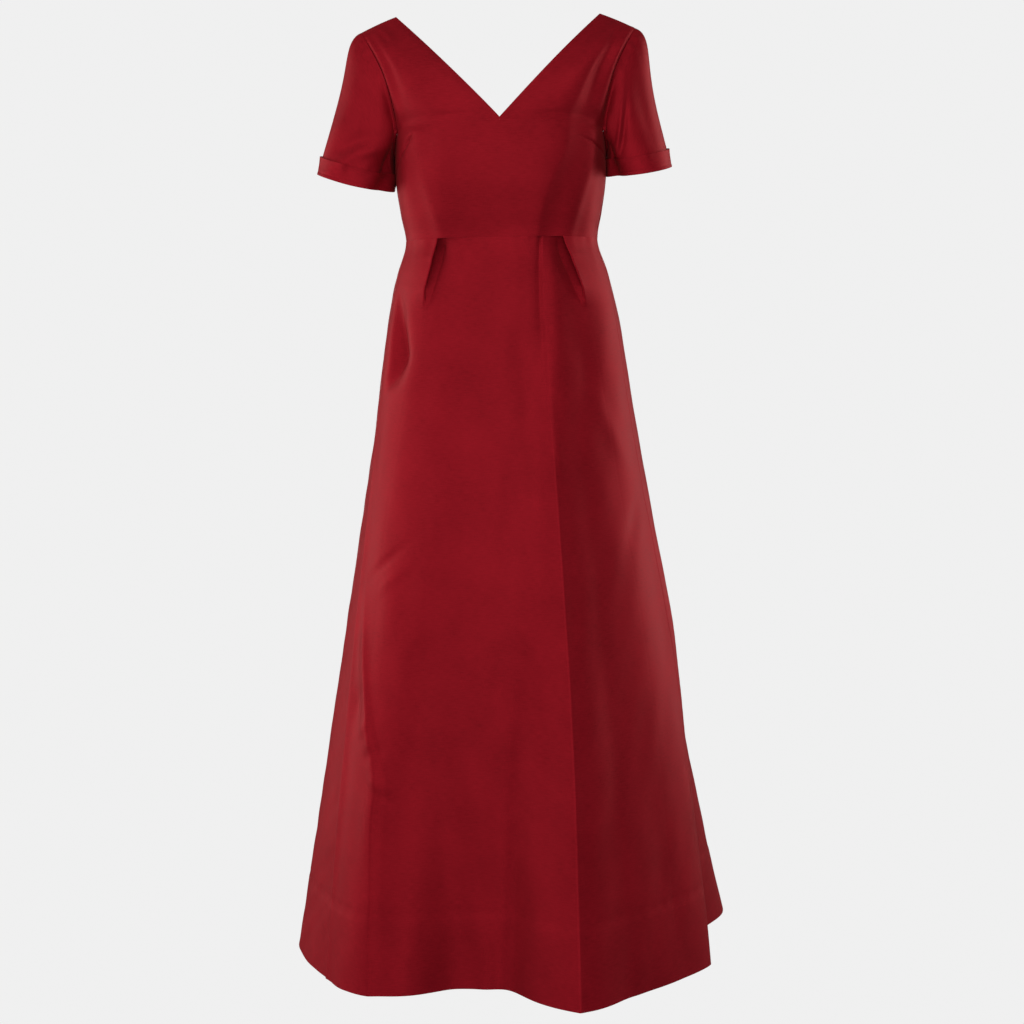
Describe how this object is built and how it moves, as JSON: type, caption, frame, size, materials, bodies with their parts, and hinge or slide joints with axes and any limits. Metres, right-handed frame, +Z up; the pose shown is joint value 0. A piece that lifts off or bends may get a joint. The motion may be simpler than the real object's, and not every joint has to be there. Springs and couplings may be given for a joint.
{
  "type": "evening gown",
  "caption": "Floor-length evening gown in stiff deep-red silk, with a V neck, short cuffed sleeves, a raised waist and an A-line skirt.",
  "frame": {"origin": "middle of the shoulder line, where a wearer's shoulders or a hanger hold the gown", "axes": "+Z up, front faces -Y, +X is the wearer's left"},
  "size_m": [0.6757, 0.6148, 1.405],
  "materials": {
    "silk": "satin",
    "zip_tape": "matte",
    "zip_metal": "satin"
  },
  "bodies": {
    "gown": {"skirt_front": "silk", "skirt_back_left": "silk", "skirt_back_right": "silk", "bodice_front_lower": "silk", "yoke_front_left": "silk", "yoke_front_right": "silk", "bodice_back_left": "silk", "bodice_back_right": "silk", "sleeve_left": "silk", "sleeve_right": "silk", "cuff_left": "silk", "cuff_right": "silk", "zip_tape": "zip_tape", "zip_slider": "zip_metal"},
    "pull_tab": {"zip_pull_tab": "zip_metal"}
  },
  "joints": [
    {"name": "pull_tab_hinge", "type": "hinge", "parent": "gown", "child": "pull_tab", "pos_m": [0, 0.10279, -0.1825], "axis": [1, 0, 0], "range_deg": [0, 160]}
  ]
}
